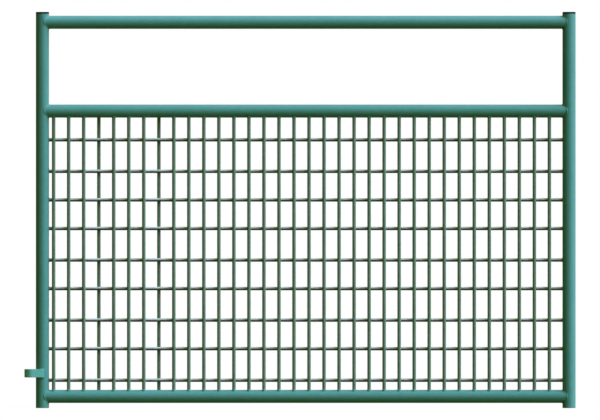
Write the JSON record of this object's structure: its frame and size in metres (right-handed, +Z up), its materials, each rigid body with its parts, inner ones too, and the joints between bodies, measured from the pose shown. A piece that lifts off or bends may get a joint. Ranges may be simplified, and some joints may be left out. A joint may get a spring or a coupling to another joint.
{
  "type": "livestock panel gate",
  "caption": "Welded round-tube gate leaf for a stock pen: two capped uprights, three rails, a rod mesh below the middle rail and a strap loop for a hinge pin.",
  "frame": {"origin": "centre of the left upright's open lower end, on the ground plane of the feet", "axes": "+X along the gate from the left upright to the right one, +Z up the uprights, -Y out of the gate's front face, so +Y points to its back"},
  "size_m": [1.8644, 0.054, 1.3395],
  "materials": {
    "frame_paint": "satin green enamel on welded steel tube, with a fine orange-peel texture",
    "loop_paint": "satin green enamel, paler and bluer than on the tubes",
    "vertical_rod_paint": "satin grey-green enamel over galvanised rod",
    "horizontal_rod_paint": "pale grey-green enamel over galvanised rod",
    "cap_plastic": "satin black moulded plastic"
  },
  "bodies": {
    "root": {"left_upright": "frame_paint", "right_upright": "frame_paint", "left_upright_cap": "cap_plastic", "right_upright_cap": "cap_plastic", "bottom_rail": "frame_paint", "middle_rail": "frame_paint", "top_rail": "frame_paint", "pin_loop": "loop_paint", "vertical_rod_01": "vertical_rod_paint", "vertical_rod_02": "vertical_rod_paint", "vertical_rod_03": "vertical_rod_paint", "vertical_rod_04": "vertical_rod_paint", "vertical_rod_05": "vertical_rod_paint", "vertical_rod_06": "vertical_rod_paint", "vertical_rod_07": "vertical_rod_paint", "vertical_rod_08": "vertical_rod_paint", "vertical_rod_09": "vertical_rod_paint", "vertical_rod_10": "vertical_rod_paint", "vertical_rod_11": "vertical_rod_paint", "vertical_rod_12": "vertical_rod_paint", "vertical_rod_13": "vertical_rod_paint", "vertical_rod_14": "vertical_rod_paint", "vertical_rod_15": "vertical_rod_paint", "vertical_rod_16": "vertical_rod_paint", "vertical_rod_17": "vertical_rod_paint", "vertical_rod_18": "vertical_rod_paint", "vertical_rod_19": "vertical_rod_paint", "vertical_rod_20": "vertical_rod_paint", "vertical_rod_21": "vertical_rod_paint", "vertical_rod_22": "vertical_rod_paint", "vertical_rod_23": "vertical_rod_paint", "vertical_rod_24": "vertical_rod_paint", "vertical_rod_25": "vertical_rod_paint", "vertical_rod_26": "vertical_rod_paint", "vertical_rod_27": "vertical_rod_paint", "vertical_rod_28": "vertical_rod_paint", "vertical_rod_29": "vertical_rod_paint", "vertical_rod_30": "vertical_rod_paint", "vertical_rod_31": "vertical_rod_paint", "vertical_rod_32": "vertical_rod_paint", "vertical_rod_33": "vertical_rod_paint", "vertical_rod_34": "vertical_rod_paint", "horizontal_rod_1": "horizontal_rod_paint", "horizontal_rod_2": "horizontal_rod_paint", "horizontal_rod_3": "horizontal_rod_paint", "horizontal_rod_4": "horizontal_rod_paint", "horizontal_rod_5": "horizontal_rod_paint", "horizontal_rod_6": "horizontal_rod_paint", "horizontal_rod_7": "horizontal_rod_paint", "horizontal_rod_8": "horizontal_rod_paint", "horizontal_rod_9": "horizontal_rod_paint"}
  },
  "joints": []
}
